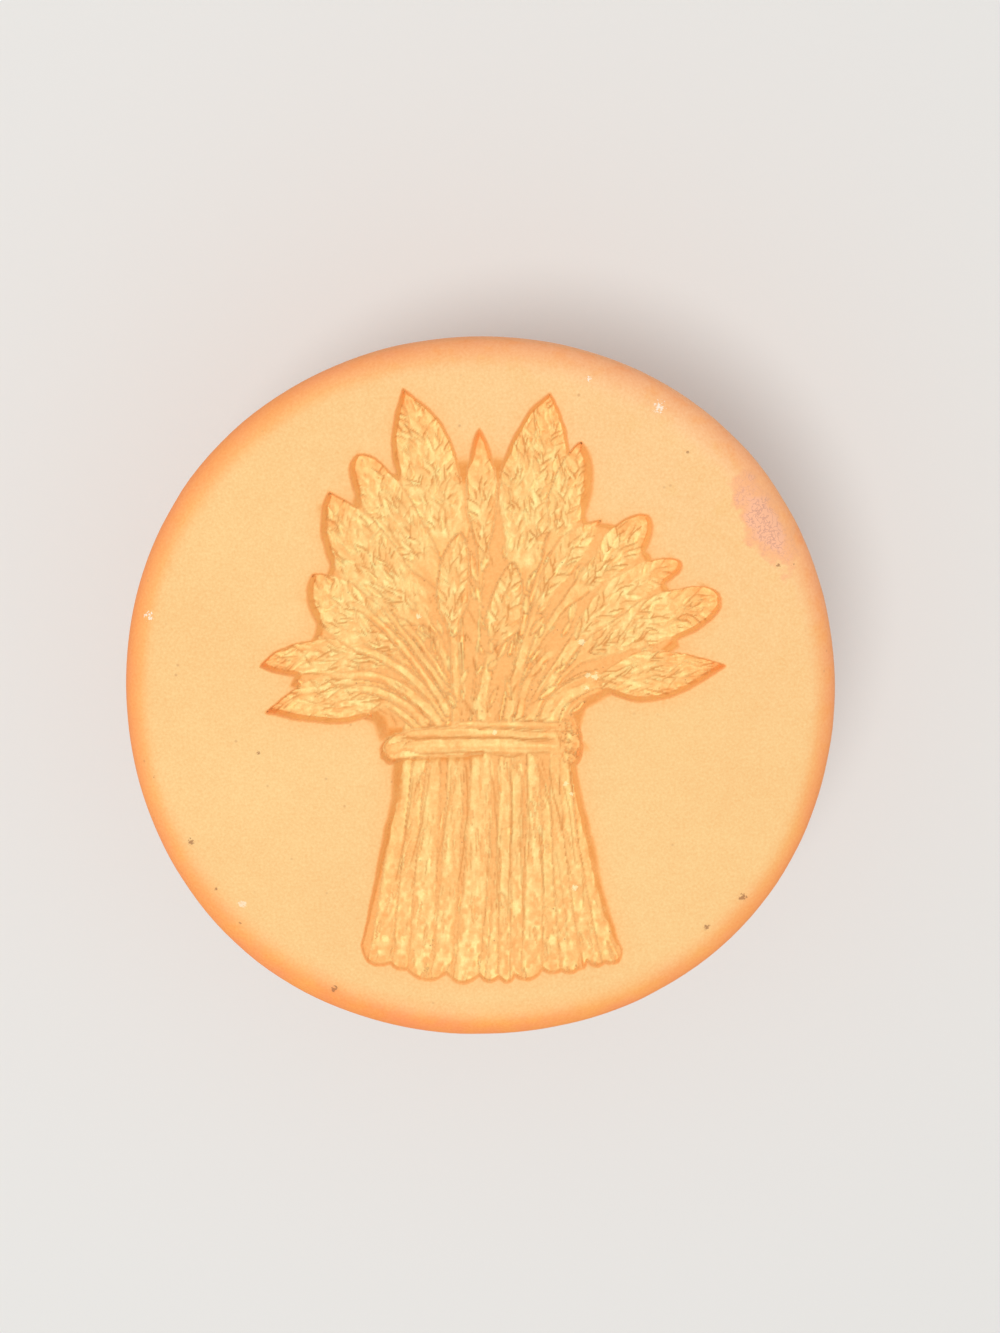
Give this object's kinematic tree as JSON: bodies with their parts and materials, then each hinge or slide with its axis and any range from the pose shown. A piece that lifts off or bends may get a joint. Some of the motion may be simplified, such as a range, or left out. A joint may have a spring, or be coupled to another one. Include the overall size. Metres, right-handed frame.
{
  "type": "cookie stamp",
  "caption": "Round fired-clay hand stamp: a face with a hollowed sheaf of wheat, luted to a turned knob it stands on.",
  "frame": {"origin": "centre of the knob's flat end, on the surface that the stamp stands on", "axes": "+Z out of the stamping face, +Y across the face towards the tips of the ears, +X to the right of the sheaf seen from +Z"},
  "size_m": [0.051, 0.051, 0.0358],
  "materials": {
    "pressed_clay": "unglazed, fine matt, paler on the land and deeper in the hollows",
    "slip": "unglazed, wiped smooth with a damp finger",
    "turned_clay": "unglazed, fine matt with faint turning rings"
  },
  "bodies": {
    "root": {"stamp_head": "pressed_clay", "slip_joint": "slip", "handle_knob": "turned_clay"}
  },
  "joints": []
}
